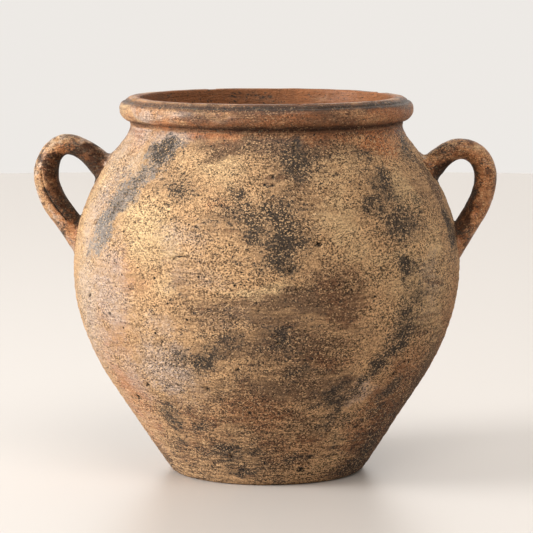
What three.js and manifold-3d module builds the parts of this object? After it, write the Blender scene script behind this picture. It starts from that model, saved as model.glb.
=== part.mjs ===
// Two-handled terracotta jar, built up as a potter builds one: a base slab, two thrown wall sections
// luted together at the belly, a neck collar, a rolled rim, and two pulled handles whose ends are
// bedded on the wall in soft clay. Millimetres, +Z up, origin at the centre of the foot.

import * as THREE from 'three';
import { mergeVertices } from 'three/addons/utils/BufferGeometryUtils.js';
import loadManifold from 'manifold-3d';

const manifold = await loadManifold();
manifold.setup();

// Body outline, as radius from the axis and height above the foot
const height = 272;
const footRadius = 70;
const footRounding = 5;
const flankRadius = 112.5;
const flankHeight = 65;
const bellyRadius = 140;
const bellyHeight = 150;
const shoulderLean = 39;
const neckRadius = 98.6;

// Wall and floor
const wallThickness = 9;
const floorThickness = 12;
const floorFillet = 6;
const stubHeight = 14;

// Neck collar and rolled rim, measured down from the lip or out from the neck
const collarHeight = 14;
const collarFlare = 7.4;
const rimHeight = 20.5;
const rimOverhang = 7.6;
const rimWidestDrop = 8.5;
const lipWidth = 7;
const lipStep = 1.7;
const lipBevel = 2.7;
const lipRounding = 1;

// Handles, pulled by hand and not quite alike. Their crests and roots are measured from the shoulder, and
// their reach and lower roots from the belly.
const handleWidth = 21;
const crestThickness = 15;
const upperRootDrop = 17.5;
const upperRootAngle = 50;
const rightLimbThickness = 16.8;
const rightReach = 26.4;
const rightRise = 21.8;
const rightBow = 17.6;
const rightDrop = 20.6;
const rightLowerRootRise = 19;
const rightLowerRootAngle = 61;
const leftLimbThickness = 18.6;
const leftReach = 29;
const leftRise = 24;
const leftBow = 15.4;
const leftDrop = 21.7;
const leftLowerRootRise = 21.5;
const leftLowerRootAngle = 57;

// Clay bedding round each handle end
const upperRootSpread = 2.2;
const lowerRootSpread = 0.8;
const rootEdge = 0.6;
const upperRootReach = 12;
const lowerRootReach = 19;

// Joints between the clay members: a V-shaped key and the slip that fills the joint
const keyDepth = 3;
const slipGap = 0.3;

// Facets
const turnSegments = 60;
const handleSides = 16;
const handleSteps = 28;
const rootSteps = 8;

const radians = THREE.MathUtils.degToRad;
const point = (radius, z) => new THREE.Vector2(radius, z);

// A rising wall curve from one point to another, leaving and arriving at given leans from the vertical.
// The lean is the change of radius for each millimetre of height.
function wallCurve(start, startLean, end, endLean) {
  const third = (end.y - start.y) / 3;
  return new THREE.CubicBezierCurve(
    start,
    point(start.x + startLean * third, start.y + third),
    point(end.x - endLean * third, end.y - third),
    end,
  );
}

// Outer face of the jar, from the foot to the neck
const flankLean = (flankRadius - footRadius) / flankHeight;
const shoulderSlope = -Math.tan(radians(shoulderLean));
const neckTop = height - rimHeight;
const shoulderTop = neckTop - collarHeight;

const footCorner = point(footRadius, 0);
const stubTop = point(footRadius + flankLean * stubHeight, stubHeight);
const flankTop = point(flankRadius, flankHeight);
const belly = point(bellyRadius, bellyHeight);
const shoulder = point(neckRadius + collarFlare, shoulderTop);
const neck = point(neckRadius, neckTop);

const flankLine = new THREE.LineCurve(stubTop, flankTop);
const flankCurve = wallCurve(flankTop, flankLean, belly, 0);
const shoulderCurve = wallCurve(belly, 0, shoulder, shoulderSlope);
const collarCurve = wallCurve(shoulder, shoulderSlope, neck, 0);

const flankDivisions = 6;
const shoulderDivisions = 8;
const collarDivisions = 4;

// A point at some depth inside a wall curve, square to its outer face. A negative depth lies outside.
function inset(curve, t, depth) {
  const onFace = curve.getPoint(t);
  const along = curve.getTangent(t);
  return point(onFace.x - along.y * depth, onFace.y + along.x * depth);
}

function insetPoints(curve, divisions, depth) {
  return Array.from({ length: divisions + 1 }, (_, i) => inset(curve, i / divisions, depth));
}

// The edge of a wall from its outer to its inner corner: a V groove, or the tongue that fills it when
// the edge is lifted along the wall by the thickness of the slip.
function keyedEdge(curve, t, lift) {
  const along = curve.getTangent(t);
  const corner = (depth, slide) => inset(curve, t, depth).addScaledVector(along, slide);
  return [
    corner(0, lift),
    corner(wallThickness / 2, lift - keyDepth),
    corner(wallThickness, lift),
  ];
}

const grooveOf = (curve, t) => keyedEdge(curve, t, 0);
const tongueOf = (curve, t) => keyedEdge(curve, t, slipGap);

// Only positions, with shared corners merged, as solids need them
function weld(geometry) {
  geometry.deleteAttribute('normal');
  geometry.deleteAttribute('uv');
  return mergeVertices(geometry, 1e-4);
}

// A solid turned about the jar's axis from an outline of (radius, height) points
function turned(outline) {
  return weld(new THREE.LatheGeometry(outline, turnSegments).rotateX(Math.PI / 2));
}

// A ring of wall, from the tongue at its foot to the groove at its top edge
function turnedWall(outerPoints, innerPoints, tongue, groove) {
  const outline = [
    tongue[0],
    ...outerPoints,
    ...groove,
    ...innerPoints.reverse(),
    tongue[2],
    tongue[1],
  ];
  return turned([...outline, outline[0]]);
}

function baseSlab() {
  const edge = grooveOf(flankLine, 0);
  const innerFoot = point(edge[2].x - flankLean * (edge[2].y - floorThickness), floorThickness);
  const footEdge = new THREE.QuadraticBezierCurve(
    point(footRadius - footRounding, 0),
    footCorner,
    point(footRadius + flankLean * footRounding, footRounding),
  );
  const floorEdge = new THREE.QuadraticBezierCurve(
    edge[2],
    innerFoot,
    point(innerFoot.x - floorFillet, floorThickness),
  );
  return turned([
    point(0, 0),
    ...footEdge.getPoints(4),
    ...edge,
    ...floorEdge.getPoints(4).slice(1),
    point(0, floorThickness),
  ]);
}

function lowerWall() {
  const inside = (curve, divisions) => insetPoints(curve, divisions, wallThickness);
  return turnedWall(
    flankCurve.getPoints(flankDivisions).slice(0, -1),
    inside(flankCurve, flankDivisions).slice(0, -1),
    tongueOf(flankLine, 0),
    grooveOf(flankCurve, 1),
  );
}

function upperWall() {
  return turnedWall(
    shoulderCurve.getPoints(shoulderDivisions).slice(1, -1),
    insetPoints(shoulderCurve, shoulderDivisions, wallThickness).slice(1, -1),
    tongueOf(shoulderCurve, 0),
    grooveOf(shoulderCurve, 1),
  );
}

function neckCollar() {
  return turnedWall(
    collarCurve.getPoints(collarDivisions).slice(1, -1),
    insetPoints(collarCurve, collarDivisions, wallThickness).slice(1, -1),
    tongueOf(collarCurve, 0),
    grooveOf(collarCurve, 1),
  );
}

// The rim swells out of the neck, turns over at its widest and steps up to a flat lip
function rimRoll() {
  const tongue = tongueOf(collarCurve, 1);
  const widest = point(neckRadius + rimOverhang, height - rimWidestDrop);
  const stepFoot = point(neckRadius + lipBevel, height - lipStep);
  const mouthRadius = neckRadius - lipWidth;
  const underside = wallCurve(tongue[0], 0, widest, 0);
  const halfRise = (widest.y - tongue[0].y) / 2;
  underside.v1.y = tongue[0].y + halfRise;
  underside.v2.y = widest.y - halfRise;
  const crown = new THREE.QuadraticBezierCurve(
    widest,
    point(widest.x, stepFoot.y - lipStep / 2),
    stepFoot,
  );
  const mouthEdge = new THREE.QuadraticBezierCurve(
    point(mouthRadius + lipRounding, height),
    point(mouthRadius, height),
    point(mouthRadius, height - lipRounding),
  );
  const outline = [
    ...underside.getPoints(6),
    ...crown.getPoints(6).slice(1),
    point(neckRadius, height),
    ...mouthEdge.getPoints(2),
    tongue[2],
    tongue[1],
  ];
  return turned([...outline, outline[0]]);
}

// Where a height falls on the shoulder: the curve parameter found by halving
function shoulderAt(z) {
  let low = 0;
  let high = 1;
  while (high - low > 1e-9) {
    const middle = (low + high) / 2;
    if (shoulderCurve.getPoint(middle).y < z) low = middle;
    else high = middle;
  }
  return shoulderCurve.getPoint(low);
}

// A handle's centre line in the XZ plane: up out of the shoulder, over the bow and back to the wall.
// Both ends run on inside the wall, far enough for their whole section to be cut off at its face.
function handlePath({ limbThickness, reach, rise, bow, drop, lowerRootRise, lowerRootAngle }) {
  const spot = ({ x, y }) => new THREE.Vector3(x, 0, y);
  const heading = (angle) => point(Math.cos(radians(angle)), Math.sin(radians(angle)));
  const upperRoot = shoulderAt(shoulderTop - upperRootDrop);
  const lowerRoot = shoulderAt(bellyHeight + lowerRootRise);
  const outermost = point(bellyRadius + reach - limbThickness / 2, 0);
  const crest = point(outermost.x - bow, upperRoot.y + rise - crestThickness / 2);
  outermost.y = crest.y - drop;

  const upward = heading(upperRootAngle);
  const outward = heading(lowerRootAngle);
  const run = handleRun(limbThickness);
  const start = upperRoot.clone().addScaledVector(upward, -run);
  const end = lowerRoot.clone().addScaledVector(outward, -run);
  const circular = 0.5523;
  const upperLead = upperRoot.distanceTo(crest) / 3;
  const lowerLead = outermost.distanceTo(lowerRoot) / 3;

  const bezier = (...points) => new THREE.CubicBezierCurve3(...points.map(spot));
  const path = new THREE.CurvePath();
  path.add(new THREE.LineCurve3(spot(start), spot(upperRoot)));
  path.add(bezier(
    upperRoot,
    upperRoot.clone().addScaledVector(upward, upperLead),
    point(crest.x - upperLead, crest.y),
    crest,
  ));
  path.add(bezier(
    crest,
    point(crest.x + circular * bow, crest.y),
    point(outermost.x, outermost.y + circular * drop),
    outermost,
  ));
  path.add(bezier(
    outermost,
    point(outermost.x, outermost.y - lowerLead),
    lowerRoot.clone().addScaledVector(outward, lowerLead),
    lowerRoot,
  ));
  path.add(new THREE.LineCurve3(spot(lowerRoot), spot(end)));
  return path;
}

// How far a handle's ends run on past the wall's face. The wall cuts them off on a slant, which takes more
// than one thickness.
const slantedCut = 1.3;
const handleRun = (limbThickness) => slantedCut * limbThickness;

// An oval section carried along a handle's path. It thickens from the crest to the outermost point, and
// growth(length along the path) is added to its half sizes.
function sweptOval(path, limbThickness, from, to, steps, growth) {
  const length = path.getLength();
  const [, crestAt, outermostAt] = path.getCurveLengths();
  const positions = [];
  const indices = [];
  const across = new THREE.Vector3(0, 1, 0);
  for (let i = 0; i <= steps; i += 1) {
    const u = THREE.MathUtils.lerp(from, to, i / steps);
    const along = u * length;
    const centre = path.getPointAt(u);
    const outward = new THREE.Vector3().crossVectors(across, path.getTangentAt(u));
    const filling = THREE.MathUtils.smoothstep(along, crestAt, outermostAt);
    const thickness = THREE.MathUtils.lerp(crestThickness, limbThickness, filling);
    const halfThickness = thickness / 2 + growth(along);
    const halfWidth = handleWidth / 2 + growth(along);
    for (let j = 0; j < handleSides; j += 1) {
      const angle = (2 * Math.PI * j) / handleSides;
      const corner = centre.clone()
        .addScaledVector(outward, halfThickness * Math.cos(angle))
        .addScaledVector(across, halfWidth * Math.sin(angle));
      positions.push(corner.x, corner.y, corner.z);
    }
  }
  const ringStart = (i) => i * handleSides;
  for (let i = 0; i < steps; i += 1) {
    for (let j = 0; j < handleSides; j += 1) {
      const next = (j + 1) % handleSides;
      const a = ringStart(i) + j;
      const b = ringStart(i) + next;
      const c = ringStart(i + 1) + next;
      const d = ringStart(i + 1) + j;
      indices.push(a, b, c, a, c, d);
    }
  }
  for (let j = 1; j < handleSides - 1; j += 1) {
    indices.push(ringStart(0), ringStart(0) + j + 1, ringStart(0) + j);
    indices.push(ringStart(steps), ringStart(steps) + j, ringStart(steps) + j + 1);
  }
  const geometry = new THREE.BufferGeometry();
  geometry.setAttribute('position', new THREE.Float32BufferAttribute(positions, 3));
  geometry.setIndex(indices);
  return geometry;
}

function solid(geometry) {
  return new manifold.Manifold(new manifold.Mesh({
    numProp: 3,
    vertProperties: new Float32Array(geometry.attributes.position.array),
    triVerts: new Uint32Array(geometry.index.array),
  }));
}

function geometryOf(body) {
  const mesh = body.getMesh();
  const geometry = new THREE.BufferGeometry();
  geometry.setAttribute('position', new THREE.BufferAttribute(mesh.vertProperties, 3));
  geometry.setIndex(new THREE.BufferAttribute(mesh.triVerts, 1));
  return geometry;
}

// Everything within the jar's outer face, with the slip on it, to trim what is stuck to the wall
function wallCutter() {
  const face = (curve, divisions) => insetPoints(curve, divisions, -slipGap);
  const outline = [
    ...face(flankLine, 1),
    ...face(flankCurve, flankDivisions).slice(1),
    ...face(shoulderCurve, shoulderDivisions).slice(1),
    ...face(collarCurve, collarDivisions).slice(1),
  ];
  const axisPoint = ({ y }) => point(0, y);
  return solid(turned([axisPoint(outline[0]), ...outline, axisPoint(outline.at(-1))]));
}

// One handle on the +X side, with the clay bedding of its two ends
function handleSet(sizes) {
  const { limbThickness } = sizes;
  const path = handlePath(sizes);
  const length = path.getLength();
  const run = handleRun(limbThickness);
  const wall = wallCutter();
  const swept = (from, to, steps, growth) => solid(sweptOval(path, limbThickness, from, to, steps, growth));
  const handle = swept(0, 1, handleSteps, () => 0).subtract(wall);
  const slippedHandle = swept(0, 1, handleSteps, () => slipGap);

  // The bedding is thickest on the wall and thins to an edge along the handle
  const bedding = (reach, spread, distanceFromWall) => (along) => {
    const left = 1 - THREE.MathUtils.clamp(distanceFromWall(along) / reach, 0, 1);
    return slipGap + rootEdge + spread * left * left;
  };
  const fromUpper = (along) => along - run;
  const fromLower = (along) => length - run - along;
  const upperShare = (run + upperRootReach) / length;
  const lowerShare = (run + lowerRootReach) / length;
  const upperBed = bedding(upperRootReach, upperRootSpread, fromUpper);
  const lowerBed = bedding(lowerRootReach, lowerRootSpread, fromLower);
  const trimmed = (sleeve) => geometryOf(sleeve.subtract(wall).subtract(slippedHandle));
  return {
    handle: geometryOf(handle),
    handle_upper_root: trimmed(swept(0, upperShare, rootSteps, upperBed)),
    handle_lower_root: trimmed(swept(1 - lowerShare, 1, rootSteps, lowerBed)),
  };
}

const clay = (color, roughness) => new THREE.MeshStandardMaterial({ color, roughness, metalness: 0 });
const wallClay = clay('#a17c50', 0.92);
const baseClay = clay('#8f6d47', 0.95);
const rimClay = clay('#8a5f43', 0.8);
const handleClay = clay('#74503a', 0.68);
const rootClay = clay('#6b4a36', 0.75);

function piece(name, geometry, material) {
  const mesh = new THREE.Mesh(geometry, material);
  mesh.name = name;
  return mesh;
}

const jar = new THREE.Group();
jar.add(piece('base_slab', baseSlab(), baseClay));
jar.add(piece('lower_wall', lowerWall(), wallClay));
jar.add(piece('upper_wall', upperWall(), wallClay));
jar.add(piece('neck_collar', neckCollar(), rimClay));
jar.add(piece('rim_roll', rimRoll(), rimClay));

// The two handles stand opposite each other, the left one turned half round the axis
const ears = {
  right: {
    turn: 0,
    limbThickness: rightLimbThickness,
    reach: rightReach,
    rise: rightRise,
    bow: rightBow,
    drop: rightDrop,
    lowerRootRise: rightLowerRootRise,
    lowerRootAngle: rightLowerRootAngle,
  },
  left: {
    turn: Math.PI,
    limbThickness: leftLimbThickness,
    reach: leftReach,
    rise: leftRise,
    bow: leftBow,
    drop: leftDrop,
    lowerRootRise: leftLowerRootRise,
    lowerRootAngle: leftLowerRootAngle,
  },
};
for (const [side, sizes] of Object.entries(ears)) {
  const ear = new THREE.Group();
  ear.rotation.z = sizes.turn;
  for (const [part, geometry] of Object.entries(handleSet(sizes))) {
    ear.add(piece(`${side}_${part}`, geometry, part === 'handle' ? handleClay : rootClay));
  }
  jar.add(ear);
}

export default jar;
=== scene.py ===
import math
import random

import bmesh
import bpy
import numpy
from mathutils import Matrix, Vector, geometry, noise


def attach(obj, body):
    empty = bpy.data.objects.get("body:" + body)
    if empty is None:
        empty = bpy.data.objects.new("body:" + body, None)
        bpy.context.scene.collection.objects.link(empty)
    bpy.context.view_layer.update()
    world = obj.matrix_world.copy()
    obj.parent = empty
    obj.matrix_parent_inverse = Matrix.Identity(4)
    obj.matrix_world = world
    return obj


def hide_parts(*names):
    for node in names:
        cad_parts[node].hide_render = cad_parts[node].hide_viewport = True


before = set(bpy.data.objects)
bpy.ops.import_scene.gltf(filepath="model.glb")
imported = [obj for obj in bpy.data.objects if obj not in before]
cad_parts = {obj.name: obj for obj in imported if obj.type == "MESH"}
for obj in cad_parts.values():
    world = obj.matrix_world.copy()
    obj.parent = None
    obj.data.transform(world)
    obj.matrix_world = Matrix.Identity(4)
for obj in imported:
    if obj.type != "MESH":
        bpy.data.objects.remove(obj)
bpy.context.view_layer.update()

# Base slab
# The floor of the jar: a slab of coarse terracotta with a rounded foot edge and a short turned-up
# margin, cut off the wheel and left unglazed. The lower wall is luted onto its margin with slip.

# Sizes in millimetres, with points of the outline as (radius, height)
WALL_THICKNESS = 9
FOOT_RADIUS = 70
FOOT_ROUNDING = 5
FLANK_TOP = Vector((112.5, 65))
FLANK_LEAN = (FLANK_TOP.x - FOOT_RADIUS) / FLANK_TOP.y
STUB_HEIGHT = 14
FLOOR_HEIGHT = 12
FLOOR_FILLET = 6
# Distance between points on curves, and the number of steps along straight stretches
SPACING = 1.2
FOOT_SPACING = 0.9
FILLET_SPACING = 2
STUB_STEPS = 9
FLOOR_STEPS = 8
ROUGH_POINTS = 12
FEWEST_POINTS = 3
CORNER_PULL = 2 / 3
# A wedge of the jar, spun in steps, is doubled until it goes all the way round
WEDGE_STEPS = 90
DOUBLINGS = 3
SEAM_GAP = 1e-3


def across(start, end, count):
    """Points on a straight line of the outline, both ends included."""
    return [start.lerp(end, i / count) for i in range(count + 1)]


def curve(start, lead, follow, end, spacing=SPACING):
    """Points on a cubic curve of the outline, about one spacing apart."""
    rough = geometry.interpolate_bezier(start, lead, follow, end, ROUGH_POINTS)
    length = sum((b - a).length for a, b in zip(rough, rough[1:]))
    count = max(FEWEST_POINTS, round(length / spacing) + 1)
    return geometry.interpolate_bezier(start, lead, follow, end, count)


def rounded(start, corner, end, spacing=SPACING):
    """Points on the curve that rounds a corner off between two points of the outline."""
    return curve(start, start.lerp(corner, CORNER_PULL), end.lerp(corner, CORNER_PULL), end, spacing)


def inside_of(points, depth=WALL_THICKNESS):
    """The inner face of a wall, square to an outer face that is listed from the bottom up."""
    inner = []
    for i, here in enumerate(points):
        along = (points[min(i + 1, len(points) - 1)] - points[max(i - 1, 0)]).normalized()
        inner.append(Vector((here.x - along.y * depth, here.y + along.x * depth)))
    return inner


def turned(outline, closed=True):
    """A solid of revolution about the jar's axis from (radius, height) points in millimetres.

    One wedge is spun and then doubled until it goes all the way round.
    """
    form = bmesh.new()
    corners = [form.verts.new((point.x, 0, point.y)) for point in outline]
    ends = corners[1:] + corners[:1] if closed else corners[1:]
    edges = [form.edges.new(pair) for pair in zip(corners, ends)]
    wedge = math.tau / 2 ** DOUBLINGS
    bmesh.ops.spin(form, geom=corners + edges, cent=(0, 0, 0), axis=(0, 0, 1),
                   angle=wedge, steps=WEDGE_STEPS)
    for doubling in range(DOUBLINGS):
        whole = form.verts[:] + form.edges[:] + form.faces[:]
        copied = bmesh.ops.duplicate(form, geom=whole)["geom"]
        moved = [part for part in copied if isinstance(part, bmesh.types.BMVert)]
        turn = Matrix.Rotation(wedge * 2 ** doubling, 3, "Z")
        bmesh.ops.rotate(form, verts=moved, cent=(0, 0, 0), matrix=turn)
    bmesh.ops.remove_doubles(form, verts=form.verts, dist=SEAM_GAP)
    bmesh.ops.recalc_face_normals(form, faces=form.faces)
    return form


# Pits left by burnt-out grit: bearing round the jar from the photographed side in degrees,
# height, half width, half height and depth in millimetres
PITS = [
    (2.2, 223.5, 1.5, 1.5, 1.6), (2.1, 218, 2.2, 1.1, 1.3), (15.2, 178.8, 3.0, 1.7, 2.4),
    (3.6, 111.5, 2.2, 1.4, 1.4), (3.0, 116.5, 1.5, 1.2, 1.1), (-20.2, 76.3, 2.0, 1.5, 1.8),
    (-44.8, 75, 2.2, 1.5, 1.8), (-55, 62.5, 2.6, 2.2, 2.2), (18, 12.4, 2.6, 2.2, 2.6),
    (21.4, 22.8, 2.2, 1.6, 1.9), (-27.3, 168.3, 1.8, 1.4, 1.4), (-33, 204, 1.7, 1.4, 1.5),
    (-34.4, 201, 1.5, 1.2, 1.4), (6.5, 161, 1.5, 2.4, 1.6), (10.6, 227.5, 1.6, 1.3, 1.4),
    (44.6, 166, 1.9, 1.5, 1.7), (-64, 135, 2.0, 2.2, 1.5), (31, 132, 1.6, 1.3, 1.4),
    (-9, 92, 1.7, 1.3, 1.3), (47, 83, 2.1, 1.7, 1.8), (128, 186, 2.4, 1.8, 2.0),
    (151, 92, 2.0, 1.6, 1.7), (177, 214, 1.8, 1.5, 1.6), (202, 128, 2.6, 1.8, 2.1),
    (238, 70, 2.2, 1.8, 1.8), (261, 176, 1.9, 1.5, 1.6),
]
# Cracks and scratches: bearing and height of both ends, half width and depth
SCRATCHES = [
    (-27, 169.3, -22, 170.2, 0.9, 1.2), (5, 147.2, 14.2, 147.6, 0.9, 0.8),
    (14.2, 147.6, 27.5, 148.6, 0.7, 0.5), (26, 33, 31, 38, 0.8, 0.8),
    (140, 140, 152, 141, 0.9, 0.9), (215, 96, 223, 101, 0.8, 0.8),
]
# Small pits strewn over the walls: number, heights, and ranges of size, stretch and relative depth
SMALL_PITS = 340
PITTED_HEIGHTS = (6, 244)
SMALL_SIZES = (0.8, 1.6)
SMALL_STRETCHES = (1, 1.5)
SMALL_DEPTHS = (0.5, 1.0)
PIT_SEED = 11
NOISE_SEED = 5
# Bluntness of a pit's bowl, taper of a scratch's ends, and the height searched beside a scratch
PIT_BLUNTNESS = 0.7
SCRATCH_TAPER = 6
SCRATCH_MARGIN = 3
# Bearing of the photographed side from the front, in degrees
PHOTO_BEARING = 2.5

random.seed(PIT_SEED)
noise.seed_set(NOISE_SEED)
for _ in range(SMALL_PITS):
    size = random.uniform(*SMALL_SIZES)
    PITS.append((
        random.uniform(-180, 180), random.uniform(*PITTED_HEIGHTS),
        size * random.uniform(*SMALL_STRETCHES), size, size * random.uniform(*SMALL_DEPTHS),
    ))


def surface_place(positions):
    """Bearing from the photographed side in radians, radius and height of each point."""
    bearing = numpy.arctan2(positions[:, 0], -positions[:, 1]) - math.radians(PHOTO_BEARING)
    radius = numpy.hypot(positions[:, 0], positions[:, 1])
    return bearing, radius, positions[:, 2]


def girth_from(bearing, radius, degrees_round):
    """Distance along the girth from a given bearing, the short way round."""
    turn = bearing - math.radians(degrees_round)
    return (numpy.mod(turn + math.pi, math.tau) - math.pi) * radius


def pitted(positions, outer):
    """Depth of the pits and scratches at each point of the outer face."""
    bearing, radius, height = surface_place(positions)
    depth = numpy.zeros(len(positions))
    for around, level, half_width, half_height, deep in PITS:
        near = outer & (numpy.abs(height - level) < half_height)
        sideways = girth_from(bearing[near], radius[near], around) / half_width
        upward = (height[near] - level) / half_height
        bowl = numpy.clip(1 - sideways ** 2 - upward ** 2, 0, 1)
        depth[near] = numpy.maximum(depth[near], deep * bowl ** PIT_BLUNTNESS)
    for around, level, to_around, to_level, half_width, deep in SCRATCHES:
        reach = abs(to_level - level) / 2 + SCRATCH_MARGIN
        near = outer & (numpy.abs(height - (level + to_level) / 2) < reach)
        length = math.radians(to_around - around) * radius[near]
        along = girth_from(bearing[near], radius[near], (around + to_around) / 2) / length + 0.5
        line = level + (to_level - level) * along
        groove = numpy.clip(1 - ((height[near] - line) / half_width) ** 2, 0, 1)
        groove *= numpy.clip(SCRATCH_TAPER * along, 0, 1) * numpy.clip(SCRATCH_TAPER * (1 - along), 0, 1)
        depth[near] = numpy.maximum(depth[near], deep * groove)
    return depth


# Shrinkage and unevenness of the thrown clay: height in millimetres, then how closely it repeats
SHRINKAGE = 0.6
LEAN, LEAN_WAVES = 0.7, 0.009
DENT, DENT_WAVES, DENT_SHIFT = 0.4, 0.034, Vector((7, 3, 1))
DRAG, DRAG_WAVES_ROUND, DRAG_WAVES_UP = 0.22, 0.012, 0.16
RING, RING_WAVES, RING_WANDER = 0.1, 0.9, 3
GRIT, GRIT_WAVES_ROUND, GRIT_WAVES_UP = 0.3, 0.27, 0.38
# Fading, spacing and number of the octaves in the grit
GRITTY = (0.7, 2.1, 3)


def thrown_relief(positions):
    """Unevenness of hand-thrown walls after shrinking: lean, dents, throwing rings and grit."""
    relief = []
    for x, y, z in positions:
        here = Vector((x, y, z))
        lean = LEAN * noise.noise(here * LEAN_WAVES)
        dent = DENT * noise.noise(here * DENT_WAVES + DENT_SHIFT)
        drag = noise.noise(Vector((x * DRAG_WAVES_ROUND, y * DRAG_WAVES_ROUND, z * DRAG_WAVES_UP)))
        ring = DRAG * drag + RING * math.sin(z * RING_WAVES + RING_WANDER * drag)
        flattened = Vector((x * GRIT_WAVES_ROUND, y * GRIT_WAVES_ROUND, z * GRIT_WAVES_UP))
        grit = GRIT * noise.fractal(flattened, *GRITTY)
        relief.append(lean + dent + ring + grit - SHRINKAGE)
    return numpy.array(relief)


def read_positions(mesh):
    """The points of a mesh, one row for each."""
    positions = numpy.empty(len(mesh.vertices) * 3)
    mesh.vertices.foreach_get("co", positions)
    return positions.reshape(-1, 3)


# On the far side marks spread wider, heights are counted down from the flip, and strengths drop
FAR_SPREAD = 1.15
FAR_FLIP = 262
FAR_STRENGTH = 0.9


def on_both_sides(marks):
    """The marks of the photographed side, with the like of them upside down on the far side."""
    far = []
    for around, level, half_girth, half_height, tilt, strength in marks:
        far.append((180 + FAR_SPREAD * around, FAR_FLIP - level, FAR_SPREAD * half_girth, half_height,
                    -tilt, FAR_STRENGTH * strength))
    return marks + far


# Smoke, stains and slip: bearing, height, half girth, half height (mm), tilt (degrees), strength
SMOKE = on_both_sides([
    (-44, 243, 10, 5, 10, 0.8), (-42, 234, 8, 7, 40, 0.7), (-37, 232, 10, 8, 0, 0.42),
    (-49, 214, 10, 10, 50, 0.34), (-55, 196, 12, 12, 45, 0.34), (-57, 185, 8, 6, 20, 0.25),
    (-29, 216, 9, 6, 10, 0.55), (-36, 218, 12, 6, 30, 0.4), (-9, 212, 9, 9, 0, 0.7),
    (-15, 208, 5, 4, 0, 0.5), (-12, 193, 16, 10, 0, 0.4), (-4, 190, 10, 10, 0, 0.7),
    (4, 196, 14, 10, 0, 0.95), (6, 184, 14, 11, -20, 1.0), (6, 171, 11, 9, 0, 0.88),
    (8, 162, 7, 5, 0, 0.6), (11, 236, 9, 8, 0, 0.95), (42, 215, 13, 12, 0, 0.8),
    (38, 202, 9, 9, 0, 0.75), (46, 193, 18, 10, 8, 0.85), (46, 203, 14, 12, 0, 0.5),
    # (73, 177) is painted shade in the crevice under the right handle's lower root
    (40, 186, 8, 5, 0, 0.7), (73, 177, 9, 11, 0, 0.9), (45, 156, 7, 8, 0, 1.0),
    (48, 136, 10, 10, 0, 0.6), (45, 118, 10, 9, 0, 0.9), (43, 106, 10, 8, 40, 1.0),
    (38, 94, 9, 5, 45, 0.95), (34, 83, 9, 4, 45, 0.7), (30, 72, 8, 4, 50, 0.6), (26, 60, 7, 4, 60, 0.8),
    (-20, 100, 16, 6, 5, 0.8), (-29, 97, 11, 5, 0, 0.55), (-24, 92, 12, 5, 0, 0.35),
    (-14, 112, 14, 8, 0, 0.4), (4, 112, 8, 6, 0, 0.6), (12, 88, 14, 6, 0, 0.5), (24, 68, 7, 7, 0, 0.85),
    (25, 50, 6, 9, 0, 0.75), (50, 70, 10, 9, 0, 0.85), (48, 53, 9, 8, 30, 0.7),
    (57, 46, 9, 14, 0, 0.45), (55, 22, 12, 16, 0, 0.75), (35, 50, 7, 6, 0, 0.55),
    (36, 35, 5, 5, 0, 0.45), (-39, 50, 9, 9, 60, 0.7), (-41, 33, 6, 5, 0, 0.6),
    (-26, 45, 8, 6, 0, 0.5), (-15, 28, 20, 4, 5, 0.45), (16, 27, 14, 3, 5, 0.65),
    (5, 18, 16, 4, 0, 0.3), (-14, 10, 9, 4, 0, 0.5), (70, 233, 12, 8, 0, 0.6), (38, 239, 10, 3, 0, 0.5),
    (46, 140, 26, 50, 0, 0.1), (0, 105, 50, 28, 0, 0.2), (56, 55, 22, 40, 0, 0.35),
    (-2, 190, 26, 26, 0, 0.2), (0, 20, 50, 12, 0, 0.15), (-25, 40, 30, 18, 0, 0.15),
])
UMBER = on_both_sides([
    (-6, 131, 56, 13, 0, 0.62), (4, 106, 56, 16, 0, 0.68), (10, 86, 36, 10, 0, 0.7),
    (21, 142, 18, 20, 0, 0.72), (20, 162, 12, 8, 0, 0.5), (-12, 194, 16, 9, 0, 0.35),
    (5, 243, 60, 8, 0, 0.8), (-4, 20, 36, 16, 0, 0.36), (-10, 55, 40, 16, 0, 0.36),
    (60, 30, 18, 34, 0, 0.9), (44, 40, 24, 26, 0, 0.2), (64, 60, 20, 40, 0, 0.5),
    # (78, 176) is painted shade in the crevice under the right handle's lower root
    (78, 176, 10, 14, 0, 0.8), (10, 138, 28, 10, 0, 0.95), (73, 205, 12, 26, 0, 0.7),
    (56, 128, 20, 30, 0, 0.35), (8, 76, 50, 11, 0, 0.75), (10, 214, 18, 12, 0, 0.45),
    (52, 112, 18, 14, 0, 0.5), (-28, 30, 40, 18, 0, 0.3), (10, 46, 36, 16, 0, 0.5),
    (-22, 155, 18, 13, 0, 0.35), (25, 112, 20, 14, 0, 0.35), (9, 231, 22, 14, 0, 0.55),
    (68, 100, 22, 40, 0, 0.35), (71, 58, 22, 40, 0, 1.1), (66, 12, 30, 14, 0, 0.95),
    (-72, 14, 20, 14, 0, 0.5), (50, 76, 20, 24, 0, 0.4), (66, 212, 14, 30, 0, 0.35),
])
RUST = on_both_sides([
    (-47, 152, 26, 12, 0, 0.55), (-18, 204, 16, 6, 0, 0.6), (-6, 57, 34, 16, 0, 0.75),
    (-55, 72, 24, 22, 0, 0.8), (-54, 105, 24, 30, 0, 0.6), (22, 140, 18, 20, 0, 0.55),
    (20, 96, 16, 9, 0, 0.6), (74, 125, 16, 36, 0, 0.6), (54, 241, 18, 8, 0, 0.7),
    (10, 30, 40, 14, 0, 0.55), (52, 66, 28, 40, 0, 0.7), (58, 32, 26, 24, 0, 0.7),
    (-28, 38, 40, 24, 0, 0.5),
])
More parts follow.
